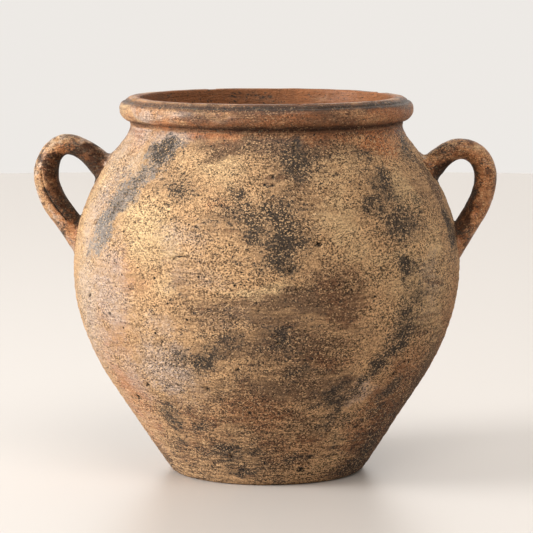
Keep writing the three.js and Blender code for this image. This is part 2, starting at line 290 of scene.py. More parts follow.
OCHRE = on_both_sides([
    (-38, 187, 22, 18, 0, 0.9), (-30, 172, 14, 8, 0, 0.7), (-17, 233, 26, 10, 0, 0.6),
    (-3, 148, 24, 6, 0, 0.95), (-32, 149, 10, 8, 0, 0.6), (22, 195, 18, 16, 0, 0.7),
    (27, 175, 12, 10, 0, 0.55), (53, 212, 14, 14, 0, 0.8), (25, 236, 16, 6, 0, 0.5),
    (-8, 24, 36, 8, 0, 0.5), (68, 115, 16, 18, 0, 0.6), (52, 145, 30, 40, 0, 0.7),
    (-55, 228, 12, 14, 0, 0.5), (-72, 210, 14, 30, 0, 0.5), (-68, 135, 20, 45, 0, 0.7),
    (58, 168, 14, 20, 0, 0.75), (34, 165, 12, 10, 0, 0.5), (34, 28, 16, 14, 0, 0.5),
    (20, 225, 16, 10, 0, 0.5),
])
# Orange flashes of the kiln's flame, under the rim and low on both flanks
FLASH = [
    (-20, 251, 22, 4, 0, 0.8), (24, 251, 26, 4, 0, 0.5), (54, 248, 38, 8, 0, 0.9),
    (-64, 246, 10, 8, 0, 0.4), (82, 75, 9, 50, 0, 0.75), (54, 58, 24, 42, 0, 0.4), (-64, 62, 22, 34, 0, 0.5),
    (120, 250, 40, 5, 0, 0.7), (185, 251, 40, 5, 0, 0.6), (245, 250, 30, 5, 0, 0.7),
]
# Areas with a pale, ashy bloom over the clay, partly a painted sheen of the window light on the lit left
# side, and a grey haze that is a painted reflection of it
ASH = on_both_sides([
    (-62, 250, 14, 8, 0, 0.8), (-42, 247, 20, 7, 0, 0.8), (-20, 156, 26, 13, 0, 0.5),
    (-32, 88, 26, 22, 0, 0.7), (-34, 115, 16, 16, 0, 0.5), (34, 73, 15, 11, 0, 0.6),
    (-64, 200, 22, 40, 0, 0.6), (-66, 120, 30, 50, 0, 0.7), (-54, 140, 26, 30, 0, 0.7),
    (-52, 80, 24, 24, 0, 0.55), (-24, 184, 26, 16, 0, 0.4), (-66, 50, 24, 36, 0, 0.45),
    (-75, 240, 30, 20, 0, 0.5), (-57, 225, 14, 18, 0, 0.5), (55, 150, 16, 24, 0, 0.45),
    (-12, 130, 30, 10, 0, 0.4),
])
# A grey haze over the soot on the lit left shoulder: a painted reflection of the window light
HAZE = on_both_sides([
    (-43, 237, 17, 11, 0, 0.9), (-47, 221, 19, 12, 40, 0.7), (-53, 203, 18, 16, 45, 0.85),
    (-58, 184, 18, 13, 30, 1.0), (-40, 226, 10, 10, 0, 0.5), (-60, 215, 14, 20, 0, 0.4),
])
# How far marks stray from their places in millimetres, and the waves of it in each millimetre
STRAYS = ((9, 0.03), (6, 0.09), (3, 0.28))


def strayed(positions):
    """Each point moved a little sideways, so that marks laid there get ragged edges."""
    moved = []
    for x, y, z in positions:
        here = Vector((x, y, z))
        warp = Vector()
        for reach, waves in STRAYS:
            warp += reach * noise.noise_vector(here * waves)
        moved.append(here + warp)
    return numpy.array(moved)


MARK_FADE = 0.6
SOFT = 1
FLAT = 1.6


def marked(positions, marks, flatness=FLAT):
    """How strongly a set of listed marks covers each point. A flat mark has a clear edge."""
    bearing, radius, height = surface_place(positions)
    cover = numpy.zeros(len(positions))
    for around, level, half_girth, half_height, tilt, strength in marks:
        sideways = girth_from(bearing, radius, around)
        upward = height - level
        lean = math.radians(tilt)
        along = sideways * math.cos(lean) + upward * math.sin(lean)
        square = upward * math.cos(lean) - sideways * math.sin(lean)
        reach = (along / half_girth) ** 2 + (square / half_height) ** 2
        cover = numpy.maximum(cover, strength * numpy.exp(-MARK_FADE * reach ** flatness))
    return cover


def paint(mesh, **layers):
    """Keep each layer of marks on the mesh as an attribute for its material."""
    for name, amount in layers.items():
        layer = mesh.attributes.new(name, "FLOAT", "POINT")
        layer.data.foreach_set("value", numpy.asarray(amount, dtype=numpy.float32))


SHARP_EDGE = math.radians(50)
MILLIMETRES = 1000


def finished(form, name, displace, material):
    """Put a form into the scene in metres, after moving its points and painting its marks."""
    mesh = bpy.data.meshes.new(name)
    form.to_mesh(mesh)
    form.free()
    positions = read_positions(mesh)
    shifted = displace(mesh, positions)
    mesh.vertices.foreach_set("co", (shifted / MILLIMETRES).ravel())
    mesh.update()
    mesh.shade_smooth()
    mesh.set_sharp_from_angle(angle=SHARP_EDGE)
    mesh.materials.append(material)
    piece = bpy.data.objects.new(name, mesh)
    bpy.context.scene.collection.objects.link(piece)
    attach(piece, "root")
    return piece


# Height and half width of each band on the neck: the painted shadow under the roll, the painted shade
# and stain below it, and the red clay. Heights over which the darkening toward the foot and the turning
# marks fade, the height over which the unevenness sets in above the flat foot, and the turn of the shaded
# side
ROLL_SHADOW = (255, 3)
NECK_STAIN = (254, 7)
NECK_REDNESS = (254, 11)
DIRT_FADE = 90
TURNING_FADE = 60
FLAT_FOOT = 3
SHADE_TURN = 0.5


def band(height, level, half_width):
    """How strongly a soft band round the jar covers points at each height."""
    return numpy.exp(-((height - level) / half_width) ** 2)


def pushed(positions, radius, outward):
    """The points moved straight out from the jar's axis."""
    shifted = positions.copy()
    shifted[:, :2] += positions[:, :2] * (outward / numpy.maximum(radius, 1))[:, None]
    return shifted


def wall_weathering(face):
    """Weathering and painted shade for a piece of the body whose outer face follows the given outline."""
    levels = [point.y for point in face]
    radii = [point.x for point in face]

    def displace(mesh, positions):
        bearing, radius, height = surface_place(positions)
        outer = radius > numpy.interp(height, levels, radii) - WALL_THICKNESS / 2
        pits = pitted(positions, outer)
        outward = (thrown_relief(positions) - pits) * numpy.clip(height / FLAT_FOOT, 0, 1)
        # Layers of marks go from 0 for none to about 1 for a full coat
        # Painted shade: a shadow band under the rim roll, and a dark band on the neck that is partly stain
        # and partly painted shade, both strongest on the shaded side
        shaded_side = 0.5 + 0.5 * numpy.sin(bearing + SHADE_TURN)
        under_roll = band(height, *ROLL_SHADOW)
        neck_band = (band(height, *NECK_STAIN) + 0.4 * under_roll) * shaded_side
        red_band = band(height, *NECK_REDNESS)
        # Darker and grittier toward the foot
        dirt = 0.2 * numpy.clip(1 - height / DIRT_FADE, 0, 1)
        # Grit and flecks grow toward the shaded right side: painted shading of the grains where the light
        # grazes
        sandy = 1.4 + 0.5 * numpy.sin(bearing) + dirt
        ragged = strayed(positions)
        # The umber layer gets the stains and the painted shade on the neck
        stains = numpy.maximum(marked(ragged, UMBER), 0.9 * neck_band) + dirt
        paint(
            mesh,
            # The smoke layer also holds a painted shadow under the rim roll and painted shade in the pits
            smoke=numpy.maximum((marked(ragged, SMOKE, SOFT) + 0.2 * under_roll) * outer, 0.6 * pits),
            haze=marked(ragged, HAZE) * outer,
            umber=numpy.where(outer, stains, 0.7),
            rust=numpy.where(outer, numpy.maximum(marked(ragged, RUST), 0.8 * red_band), 1.0),
            flash=numpy.where(outer, marked(ragged, FLASH), 0.35),
            ash=marked(ragged, ASH) * outer,
            ochre=numpy.where(outer, 0.3 + 0.7 * marked(ragged, OCHRE) - 0.5 * red_band, 0.0),
            grit=numpy.where(outer, sandy - 0.5 * red_band, 0.0),
            fleck=numpy.where(outer, (sandy + dirt) * (1 - 0.6 * red_band), 0.1),
            burnish=numpy.where(outer, 0.5 * red_band * (1 - under_roll), 0.3),
            turning=numpy.where(outer, 0.25 + numpy.clip(1.2 - height / TURNING_FADE, 0, 1), 0.5),
        )
        return pushed(positions, radius, outward)

    return displace


class Tone:
    """One value, colour or vector in a material. Arithmetic on values adds Math nodes."""

    def __init__(self, tree, socket=None):
        self.tree = tree
        self.socket = socket

    def node(self, kind, settings=None, inlets=None, outlet=0):
        """A new node with its settings and the values or links of its sockets."""
        made = self.tree.nodes.new(kind)
        for setting, value in (settings or {}).items():
            setattr(made, setting, value)
        for inlet, value in (inlets or {}).items():
            if isinstance(value, Tone):
                self.tree.links.new(value.socket, made.inputs[inlet])
            else:
                made.inputs[inlet].default_value = value
        return Tone(self.tree, made.outputs[outlet])

    def math(self, operation, first, second):
        """A Math node on two values."""
        return self.node("ShaderNodeMath", {"operation": operation}, {0: first, 1: second})

    def __add__(self, other):
        return self.math("ADD", self, other)

    __radd__ = __add__

    def __sub__(self, other):
        return self.math("SUBTRACT", self, other)

    def __rsub__(self, other):
        return self.math("SUBTRACT", other, self)

    def __mul__(self, other):
        return self.math("MULTIPLY", self, other)

    __rmul__ = __mul__

    def clamped(self, low, high):
        """This value kept between two limits."""
        return self.math("MINIMUM", self.math("MAXIMUM", self, low), high)

    def between(self, low, high):
        """0 below low, 1 above high, and a smooth change between."""
        steps = {"Value": self, "From Min": low, "From Max": high}
        return self.node("ShaderNodeMapRange", {"interpolation_type": "SMOOTHSTEP"}, steps)

    def over(self, under, colour):
        """This value used as the cover of one colour over another."""
        return self.node("ShaderNodeMix", {"data_type": "RGBA"}, {0: self, 6: under, 7: colour}, 2)

    def shaded(self, amount):
        """This colour made darker or lighter by a value."""
        return self.node("ShaderNodeMix", {"data_type": "RGBA", "blend_type": "MULTIPLY"},
                         {0: 1.0, 6: self, 7: amount}, 2)

    def uneven(self, scale, detail, roughness):
        """Cloudy noise on this vector, from about -0.5 to 0.5."""
        cloudy = self.node("ShaderNodeTexNoise", None, {
            "Vector": self, "Scale": scale, "Detail": detail, "Roughness": roughness,
        })
        return (cloudy - 0.5) * 2.6


# The soot, smoke grey and umber colours also paint shade in pits, creases, the fold under the rim and inside
# the handle loops
SLIP_TAN = (0.45, 0.264, 0.130, 1)
SLIP_OCHRE = (0.53, 0.35, 0.18, 1)
RED_CLAY = (0.37, 0.168, 0.073, 1)
KILN_ORANGE = (0.43, 0.148, 0.047, 1)
PALE_SAND = (0.66, 0.41, 0.21, 1)
DARK_GRIT = (0.05, 0.032, 0.02, 1)
ASH_BLOOM = (0.41, 0.31, 0.25, 1)
UMBER_STAIN = (0.138, 0.078, 0.043, 1)
RED_UMBER = (0.118, 0.047, 0.021, 1)
DEEP_UMBER = (0.042, 0.016, 0.007, 1)
SMOKE_GREY = (0.125, 0.088, 0.06, 1)
HAZE_GREY = (0.185, 0.168, 0.153, 1)
SOOT = (0.016, 0.012, 0.009, 1)
WORN_SOOT = (0.062, 0.044, 0.030, 1)
# Near-black painted shade in the depths of pores and pinholes
PORE_BLACK = (0.010, 0.008, 0.006, 1)
DUST = (1.0, 0.88, 0.76, 1)
# Sand, coarser grains, pores and pinholes along a metre of clay
SAND_CELLS = 1450
GRAIN_CELLS = 920
PORE_CELLS = 210
PINHOLE_CELLS = 430


def fired_clay(name, roughness, gloss):
    """Coarse terracotta under a sandy slip, with soot in the hollows between its grains."""
    material = bpy.data.materials.new(name)
    material.use_nodes = True
    tree = material.node_tree
    start = Tone(tree)
    place = start.node("ShaderNodeTexCoord", outlet="Object")

    def layer(attribute):
        """A layer of marks painted on the mesh."""
        return start.node("ShaderNodeAttribute", {"attribute_name": attribute}, outlet="Fac")

    def dragged(x, y, z):
        """The place on the jar with its axes drawn together or apart."""
        return start.node("ShaderNodeMapping", None, {"Vector": place, "Scale": (x, y, z)})

    def cells(vector, scale, outlet):
        """A colour for each grain, or the distance from the middle of the nearest one."""
        return start.node("ShaderNodeTexVoronoi", None, {"Vector": vector, "Scale": scale}, outlet)

    smoke, umber, rust, turning = layer("smoke"), layer("umber"), layer("rust"), layer("turning")
    ochre, ash, haze = layer("ochre"), layer("ash"), layer("haze")
    flash, grit, fleck, burnish = layer("flash"), layer("grit"), layer("fleck"), layer("burnish")

    # Unevenness from wide clouds to single grains, with its waves along a metre
    drift = place.uneven(15, 2, 0.5)
    cloud = dragged(1, 1, 1.6).uneven(58, 5, 0.62)
    patch = dragged(1, 1, 2).uneven(230, 3, 0.6)
    fine = dragged(1, 1, 1.4).uneven(560, 2, 0.55)
    bare = (dragged(1, 1, 1.6).uneven(34, 3, 0.6) + 0.1).between(-0.4, 0.5)
    streak = dragged(1, 1, 14).uneven(36, 4, 0.62)
    scrape = dragged(1, 1, 7).uneven(110, 3, 0.6) * turning
    flattened = dragged(1, 1, 1.3)
    sand = cells(place, SAND_CELLS, "Color") - 0.5
    grain = cells(flattened, GRAIN_CELLS, "Color") - 0.5
    rounding = cells(flattened, GRAIN_CELLS, "Distance")
    pore_size = cells(place, PORE_CELLS, "Color") - 0.5
    pore_centre = cells(place, PORE_CELLS, "Distance")
    pinhole_size = cells(place, PINHOLE_CELLS, "Color") - 0.5
    pinhole_centre = cells(place, PINHOLE_CELLS, "Distance")

    # Cover of each coat, broken up by the unevenness
    bright = (ochre + cloud * 0.4 + drift * 0.2 + patch * 0.2).between(0.3, 1.0)
    rusted = (rust + cloud * 0.45 + drift * 0.3 + patch * 0.3).between(0.15, 0.95)
    flashed = (flash + cloud * 0.4 + streak * 0.45).between(0.0, 1.1)
    ashy = (ash + cloud * 0.4 + drift * 0.2 + patch * 0.35).between(0.15, 0.95)
    stained = (umber + cloud * 0.45 + streak * 0.42 + patch * 0.3 + scrape * 0.5).between(0.05, 0.8)
    soaked = (umber + cloud * 0.35 + patch * 0.2).between(0.85, 1.5)
    filmed = (smoke + cloud * 0.4 + patch * 0.2).between(0.0, 0.85)
    hazy = (haze + cloud * 0.5 + patch * 0.5 + fine * 0.4).between(0.3, 0.75)
    sooty = smoke + cloud * 0.55 + patch * 0.8 + fine * 0.7 + scrape * 0.6 - sand * 0.5
    sooty = sooty.between(0.36, 0.68)
    pale_grain = (grain * 2.4 - 0.18 + patch * 0.7 + sooty * 0.12 - rounding).between(0, 0.22)
    pale_grain = pale_grain * fleck * (0.45 + bare * 0.9)
    dark_grain = (grain * -2.4 - 0.58 + bare * 0.3 + patch * 0.7 - rounding).between(0, 0.18) * fleck

    # Coats of slip, stain and smoke from the clay outward, with painted sheen, painted reflection and
    # painted shade among them
    skin = bright.over(SLIP_TAN, SLIP_OCHRE)
    skin = (rusted * 0.8).over(skin, RED_CLAY)
    # Pale ashy bloom, partly a painted sheen of the window light
    skin = (ashy * 0.85).over(skin, ASH_BLOOM)
    # Painted reflection of the window light
    skin = (hazy * 0.85).over(skin, HAZE_GREY)
    skin = (stained * 0.92).over(skin, rusted.over(UMBER_STAIN, RED_UMBER))
    skin = (flashed * 0.7).over(skin, KILN_ORANGE)
    skin = (soaked * 0.9).over(skin, DEEP_UMBER)
    skin = (filmed * 0.6).over(skin, SMOKE_GREY)

    # Grit, partly grain colour and partly painted shading of the grains, then soot, loose grains and holes
    speckle = (sand * 1.3 + fine * 0.85 + grain * 0.55) * grit * (0.3 + bare * 1.1)
    mottle = speckle + 1.05 + cloud * 0.3 + patch * 0.45 - streak * 0.28 - scrape * 0.4
    skin = skin.shaded(mottle.clamped(0.2, 1.7))
    tone = (sooty * 0.92).over(skin, (patch + sand * 0.4).between(-0.1, 0.45).over(SOOT, WORN_SOOT))
    tone = (dark_grain * 0.8).over(tone, DARK_GRIT)
    tone = (pale_grain * (0.92 - stained * 0.2 - sooty * 0.3)).over(tone, PALE_SAND)
    # Pores and pinholes, painted near-black as shade in their depths
    hole = (pore_size * 0.5 + sand * 0.08 - pore_centre).between(0, 0.06)
    pinhole = (pinhole_size * 0.65 - 0.03 + patch * 0.16 - pinhole_centre).between(0, 0.06)
    hole = start.math("MAXIMUM", hole, pinhole) * grit
    tone = (hole * 0.92).over(tone, PORE_BLACK)

    relief = speckle * 0.21 - rounding * 0.4 + patch * 0.4 - scrape * 0.5 - sooty * 0.3 - hole * 0.9
    bump = start.node("ShaderNodeBump", None, {"Strength": 0.9, "Distance": 0.0016, "Height": relief})
    surface = tree.nodes["Principled BSDF"].inputs
    tree.links.new(tone.socket, surface["Base Color"])
    tree.links.new((roughness - sooty * 0.12 - burnish * 0.28 + hole * 0.1).socket, surface["Roughness"])
    tree.links.new(bump.socket, surface["Normal"])
    tree.links.new((burnish * 0.4).socket, surface["Coat Weight"])
    surface["Coat Roughness"].default_value = 0.36
    surface["Specular IOR Level"].default_value = gloss
    surface["Sheen Weight"].default_value = 0.03
    surface["Sheen Roughness"].default_value = 0.45
    surface["Sheen Tint"].default_value = DUST
    return material


body_clay = fired_clay("weathered_terracotta", roughness=0.78, gloss=0.2)

foot_corner = Vector((FOOT_RADIUS, 0))
stub_top = Vector((FOOT_RADIUS + FLANK_LEAN * STUB_HEIGHT, STUB_HEIGHT))
foot_edge_end = Vector((FOOT_RADIUS + FLANK_LEAN * FOOT_ROUNDING, FOOT_ROUNDING))
foot_edge_start = Vector((FOOT_RADIUS - FOOT_ROUNDING, 0))
foot_face = rounded(foot_edge_start, foot_corner, foot_edge_end, FOOT_SPACING)
foot_face += across(foot_edge_end, stub_top, STUB_STEPS)[1:]
stub_inner = inside_of([foot_edge_end, stub_top])[1]
floor_corner = Vector((stub_inner.x - FLANK_LEAN * (stub_inner.y - FLOOR_HEIGHT), FLOOR_HEIGHT))
floor_edge = Vector((floor_corner.x - FLOOR_FILLET, FLOOR_HEIGHT))
base_outline = (
    across(Vector((0, 0)), foot_edge_start, FLOOR_STEPS)[:-1] + foot_face + [stub_inner]
    + rounded(stub_inner, floor_corner, floor_edge, FILLET_SPACING)[1:]
    + across(floor_edge, Vector((0, FLOOR_HEIGHT)), FLOOR_STEPS)[1:]
)
base = finished(turned(base_outline, closed=False), "base_slab_fired",
                wall_weathering(foot_face), body_clay)
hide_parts("base_slab")

# Lower wall
# The lower of the two thrown sections: a nearly straight cone that rounds into the belly.
# Its coarse clay is coated with sandy slip and worn through to the darker body.

BELLY = Vector((140, 150))
FLANK_STEPS = 46
INNER_THINNING = 9


def rising(start, start_lean, end, end_lean):
    """A wall curve between two points, with the change of radius per millimetre of height at each."""
    third = (end.y - start.y) / 3
    lead = Vector((start.x + start_lean * third, start.y + third))
    follow = Vector((end.x - end_lean * third, end.y - third))
    return curve(start, lead, follow, end)


def wall_outline(face):
    """The closed outline of a wall, with fewer points on its inner face than on its outer one."""
    inner = inside_of(face)
    coarse = inner[:-1:INNER_THINNING] + [inner[-1]]
    return face + coarse[::-1]


flank_face = across(stub_top, FLANK_TOP, FLANK_STEPS)[:-1] + rising(FLANK_TOP, FLANK_LEAN, BELLY, 0)
lower = finished(turned(wall_outline(flank_face)), "lower_wall_fired",
                 wall_weathering(flank_face), body_clay)
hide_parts("lower_wall")

# Upper wall
# The upper thrown section, from the belly's widest line over the shoulder. It is luted to the lower
# wall at the belly, and the two handles are stuck to it.

NECK = Vector((98.6, 251.5))
SHOULDER = Vector((NECK.x + 7.4, 237.5))
SHOULDER_SLOPE = -math.tan(math.radians(39))

shoulder_face = rising(BELLY, 0, SHOULDER, SHOULDER_SLOPE)
upper = finished(turned(wall_outline(shoulder_face)), "upper_wall_fired",
                 wall_weathering(shoulder_face), body_clay)
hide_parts("upper_wall")

# Neck collar
# A coil thrown onto the shoulder and drawn in to the concave neck, smoothed with a wet sponge so
# that the red clay shows through the slip.

collar_face = rising(SHOULDER, SHOULDER_SLOPE, NECK, 0)
collar = finished(turned(wall_outline(collar_face)), "neck_collar_fired",
                  wall_weathering(collar_face), body_clay)
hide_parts("neck_collar")

# Rim roll
# The last coil, rolled outward over the neck and pressed flat on top into a lip. It is smoothed
# by hand and chipped along its edges.

RIM_TOP = 272
# Points from the fold under the roll over its widest line and the groove under the lip to the lip
FOLD = Vector((NECK.x + 0.2, 254.6))
ROLL_BULGE = Vector((3.7, 0.3))
ROLL_HANG = Vector((0, 5))
RIM_WIDEST = Vector((NECK.x + 7.6, RIM_TOP - 8.5))
ROLL_CORNER = Vector((RIM_WIDEST.x - 0.3, RIM_TOP - 4.4))
GROOVE_EDGE = Vector((NECK.x + 4.8, RIM_TOP - 3.1))
GROOVE = Vector((NECK.x + 3.5, RIM_TOP - 3.1))
LIP_STEP = Vector((NECK.x + 2.7, RIM_TOP - 1.7))
LIP_OUTER = Vector((NECK.x, RIM_TOP))
LIP_ROUNDING = 1
MOUTH_RADIUS = NECK.x - 7
RIM_SPACING = 0.8
LIP_SPACING = 0.5
FOLD_STEPS = 4
GROOVE_STEPS = 2
LIP_EDGE_STEPS = 3
LIP_STEPS = 7
MOUTH_STEPS = 14

rim_face = across(NECK, FOLD, FOLD_STEPS)
rim_face += curve(FOLD, FOLD + ROLL_BULGE, RIM_WIDEST - ROLL_HANG, RIM_WIDEST, RIM_SPACING)[1:]
rim_face += rounded(RIM_WIDEST, ROLL_CORNER, GROOVE_EDGE, RIM_SPACING)[1:]
rim_face += across(GROOVE_EDGE, GROOVE, GROOVE_STEPS)[1:] + across(GROOVE, LIP_STEP, GROOVE_STEPS)[1:]
lip_inner = Vector((MOUTH_RADIUS + LIP_ROUNDING, RIM_TOP))
mouth_corner = Vector((MOUTH_RADIUS, RIM_TOP))
mouth_side = Vector((MOUTH_RADIUS, RIM_TOP - LIP_ROUNDING))
neck_inner = Vector((NECK.x - WALL_THICKNESS, NECK.y))
rim_outline = (
    rim_face + across(LIP_STEP, LIP_OUTER, LIP_EDGE_STEPS)[1:] + across(LIP_OUTER, lip_inner, LIP_STEPS)[1:]
    + rounded(lip_inner, mouth_corner, mouth_side, LIP_SPACING)[1:]
    + across(mouth_side, neck_inner, MOUTH_STEPS)[1:]
)

# Marks on the rim and inside the mouth, given as those on the walls are
RIM_UMBER = [
    (4, 271, 30, 4, 0, 0.9), (14, 264, 44, 9, 0, 0.85), (58, 265, 40, 8, 0, 0.9),
    (-27, 265, 26, 7, 0, 0.8), (-8, 263, 18, 8, 0, 0.8), (140, 263, 70, 9, 0, 0.8),
    (210, 263, 60, 9, 0, 0.7), (262, 263, 40, 9, 0, 0.5),
]
RIM_ASH = [
    (-54, 264, 16, 5, 0, 0.8), (-34, 264, 18, 5, 0, 0.9), (-14, 263, 16, 5, 0, 0.6),
    (170, 263, 30, 5, 0, 0.8), (240, 263, 30, 5, 0, 0.8),
]
RIM_OCHRE = [(-74, 262, 24, 9, 0, 0.9), (-58, 259, 14, 4, 0, 0.7), (190, 262, 30, 6, 0, 0.6)]
RIM_FLASH = [
    (-46, 259, 14, 4, 0, 0.8), (-26, 259, 24, 4, 0, 0.55), (6, 260, 56, 6, 0, 0.5),
    (66, 259, 50, 6, 0, 0.75), (130, 258, 60, 4, 0, 0.7), (200, 258, 60, 4, 0, 0.7),
    (260, 258, 50, 4, 0, 0.7),
]
# A painted sheen of the window light inside the mouth, laid as a pale bloom with less umber under it
MOUTH_ASH = [(142, 265, 32, 7, 0, 0.5), (118, 264, 16, 12, 0, 0.3), (330, 264, 40, 8, 0, 0.6)]
MOUTH_SMOKE = [(186, 263, 20, 2, 0, 0.4), (206, 266, 26, 5, 0, 0.15), (60, 262, 30, 6, 0, 0.4)]
# Chips out of the lip: bearing, half length and depth
CHIPS = [(-71, 5, 1.4), (-33, 2.5, 0.6), (14, 3, 0.7), (52, 3, 0.8), (120, 6, 1.5), (205, 4, 1.0)]
CHIP_SLANT = 0.5
CHIP_FADE = 1
# The lip dips: height in millimetres, waves in each millimetre, and the height over which it sets in
LIP_WAVE, LIP_WAVES = 0.35, 0.05
LIP_WAVE_RISE = 8
RIM_UNEVENNESS = 0.8
# Height and half width of the painted shadows under the lip and in the fold, and the turn of the shaded side
LIP_SHADOW = (GROOVE.y + 0.5, 1.7)
FOLD_SHADOW = (FOLD.y, 2.6)
RIM_SHADE_TURN = 0.6


def rim_weathering(mesh, positions):
    """Weathering, painted shade and a painted sheen for the rim roll and the mouth inside it, with an
    uneven, chipped lip.
    """
    bearing, radius, height = surface_place(positions)
    outer = radius > NECK.x - WALL_THICKNESS / 2
    upward = numpy.array([LIP_WAVE * noise.noise(Vector(p) * LIP_WAVES) - LIP_WAVE for p in positions])
    upward *= numpy.clip((height - NECK.y) / LIP_WAVE_RISE, 0, 1)
    broken = numpy.zeros(len(positions))
    for around, half_length, deep in CHIPS:
        length = girth_from(bearing, radius, around) / half_length
        broken = numpy.maximum(broken, deep * numpy.clip(1 - length ** 2, 0, 1))
    broken *= numpy.clip((height - LIP_STEP.y + CHIP_FADE) / (2 * CHIP_FADE), 0, 1) * outer
    outward = RIM_UNEVENNESS * thrown_relief(positions) - CHIP_SLANT * broken
    shifted = pushed(positions, radius, outward)
    shifted[:, 2] += upward - broken
    ragged = strayed(positions)
    # Painted shadows under the lip and in the fold under the roll, darker on the shaded side
    under_lip = band(height, *LIP_SHADOW)
    under_roll = band(height, *FOLD_SHADOW)
    shaded_side = 0.5 + 0.5 * numpy.sin(bearing + RIM_SHADE_TURN)
    stains = marked(ragged, RIM_UMBER) + (0.8 + 0.5 * shaded_side) * under_roll + 1.1 * under_lip
    deep_mouth = 0.95 - 0.5 * marked(ragged, MOUTH_ASH)
    paint(
        mesh,
        # Painted shadow in the groove under the lip and in the fold
        smoke=numpy.where(outer, under_lip * (0.2 + 0.3 * shaded_side) + 0.1 * under_roll,
                          marked(ragged, MOUTH_SMOKE, SOFT)),
        umber=numpy.where(outer, stains, deep_mouth),
        rust=numpy.where(outer, 0.75 - 0.5 * marked(ragged, RIM_OCHRE), 1.0),
        flash=numpy.where(outer, marked(ragged, RIM_FLASH), 0.6),
        ash=numpy.where(outer, marked(ragged, RIM_ASH), marked(ragged, MOUTH_ASH)),
        haze=0 * height,
        turning=0.45 + 0 * height,
        ochre=numpy.where(outer, 0.1 + 0.8 * marked(ragged, RIM_OCHRE) + broken, 0.0),
        grit=numpy.where(outer, 0.6, 0.0),
        fleck=numpy.where(outer, 0.45, 0.1),
        burnish=numpy.where(outer, 0.5 * (1 - under_roll), 0.3),
    )
    return shifted


rim = finished(turned(rim_outline), "rim_roll_fired", rim_weathering, body_clay)
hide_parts("rim_roll")

# Handles
# Two loops of clay, pulled out by hand, bent while soft and stuck to the shoulder and the wall. They
# are smooth and satin from handling, stained dark inside the loop with painted shade along its inner
# edge, and not quite alike.

HANDLE_WIDTH = 21
CREST_THICKNESS = 15
UPPER_ROOT_HEIGHT = 220
UPPER_ROOT_ANGLE = 50
# Sign of X, thickness of the limb, reach past the belly, height of the crest over the upper root, bow
# and drop from the crest to the outermost point, height and angle of the lower root
HANDLES = {
    "right": (1, 16.8, 26.4, 21.8, 17.6, 20.6, 169, 61),
    "left": (-1, 18.6, 29, 24, 15.4, 21.7, 171.5, 57),
}
# Points round a handle, and distances between rings and between points of the line they are set on
HANDLE_SIDES = 96
STATION_SPACING = 0.8
LINE_SPACING = 0.4
TUBE_SEAM_GAP = 1e-4
# Thickening at the upper end, the length it fades over, and the length of each end inside the wall
ROOT_FLARE = 1.8
FLARE_LENGTH = 13
BURIED = 24
# Share of the bow at which a curve's lead points make a quarter of an ellipse
QUARTER_ROUND = 0.5523

wall_levels = [point.y for point in shoulder_face]
wall_radii = [point.x for point in shoulder_face]


def heading(angle):
    """A direction outward and up at an angle in degrees."""
    return Vector((math.cos(math.radians(angle)), math.sin(math.radians(angle))))


def handle_line(limb, reach, rise, bow, drop, lower_height, lower_angle):
    """Points along a handle's middle line as (out from the axis, height), evenly spaced, and the share
    of the way from the crest to the outermost point at each."""
    upper = Vector((numpy.interp(UPPER_ROOT_HEIGHT, wall_levels, wall_radii), UPPER_ROOT_HEIGHT))
    lower = Vector((numpy.interp(lower_height, wall_levels, wall_radii), lower_height))
    outermost = Vector((BELLY.x + reach - limb / 2, upper.y + rise - CREST_THICKNESS / 2 - drop))
    crest = Vector((outermost.x - bow, outermost.y + drop))
    upward, outward = heading(UPPER_ROOT_ANGLE), heading(lower_angle)
    upper_lead = (crest - upper).length / 3
    lower_lead = (outermost - lower).length / 3
    stretches = [
        [upper - upward * BURIED, upper],
        curve(upper, upper + upward * upper_lead, crest - Vector((upper_lead, 0)), crest, LINE_SPACING),
        curve(crest, crest + Vector((QUARTER_ROUND * bow, 0)),
              outermost + Vector((0, QUARTER_ROUND * drop)), outermost, LINE_SPACING),
        curve(outermost, outermost - Vector((0, lower_lead)), lower + outward * lower_lead, lower,
              LINE_SPACING),
        [lower, lower - outward * BURIED],
    ]
    line = numpy.array([point for stretch in stretches for point in stretch[:-1]] + [stretches[-1][-1]])
    length = numpy.concatenate([[0], numpy.cumsum(numpy.hypot(*numpy.diff(line, axis=0).T))])
    counts = numpy.cumsum([len(stretch) - 1 for stretch in stretches])
    stations = numpy.arange(0, length[-1], STATION_SPACING)
    points = numpy.stack([numpy.interp(stations, length, line[:, axis]) for axis in (0, 1)], axis=1)
    share = numpy.clip((stations - length[counts[1]]) / (length[counts[2]] - length[counts[1]]), 0, 1)
    return points, share * share * (3 - 2 * share)


def rolled(grid_points, closed_along):
    """A tube from rows of ring points: a grid rolled up and sewn along its seam. Its ends are joined
    where it is closed along its length, and capped elsewhere."""
    rows = len(grid_points) + (1 if closed_along else 0)
    form = bmesh.new()
    sides = len(grid_points[0])
    made = bmesh.ops.create_grid(form, x_segments=sides, y_segments=rows - 1, size=1)["verts"]
    for number, corner in enumerate(made):
        row, column = divmod(number, sides + 1)
        corner.co = grid_points[row % len(grid_points)][column % sides]
    bmesh.ops.remove_doubles(form, verts=form.verts, dist=TUBE_SEAM_GAP)
    rims = [edge for edge in form.edges if edge.is_boundary]
    bmesh.ops.holes_fill(form, edges=rims, sides=0)
    bmesh.ops.recalc_face_normals(form, faces=form.faces)
    return form


def handle_course(sizes):
    """A handle's middle line, the direction along it and half its thickness at each point."""
    points, filling = handle_line(*sizes)
    along = numpy.gradient(points, axis=0)
    along /= numpy.hypot(along[:, 0], along[:, 1])[:, None]
    return points, along, (CREST_THICKNESS + (sizes[0] - CREST_THICKNESS) * filling) / 2


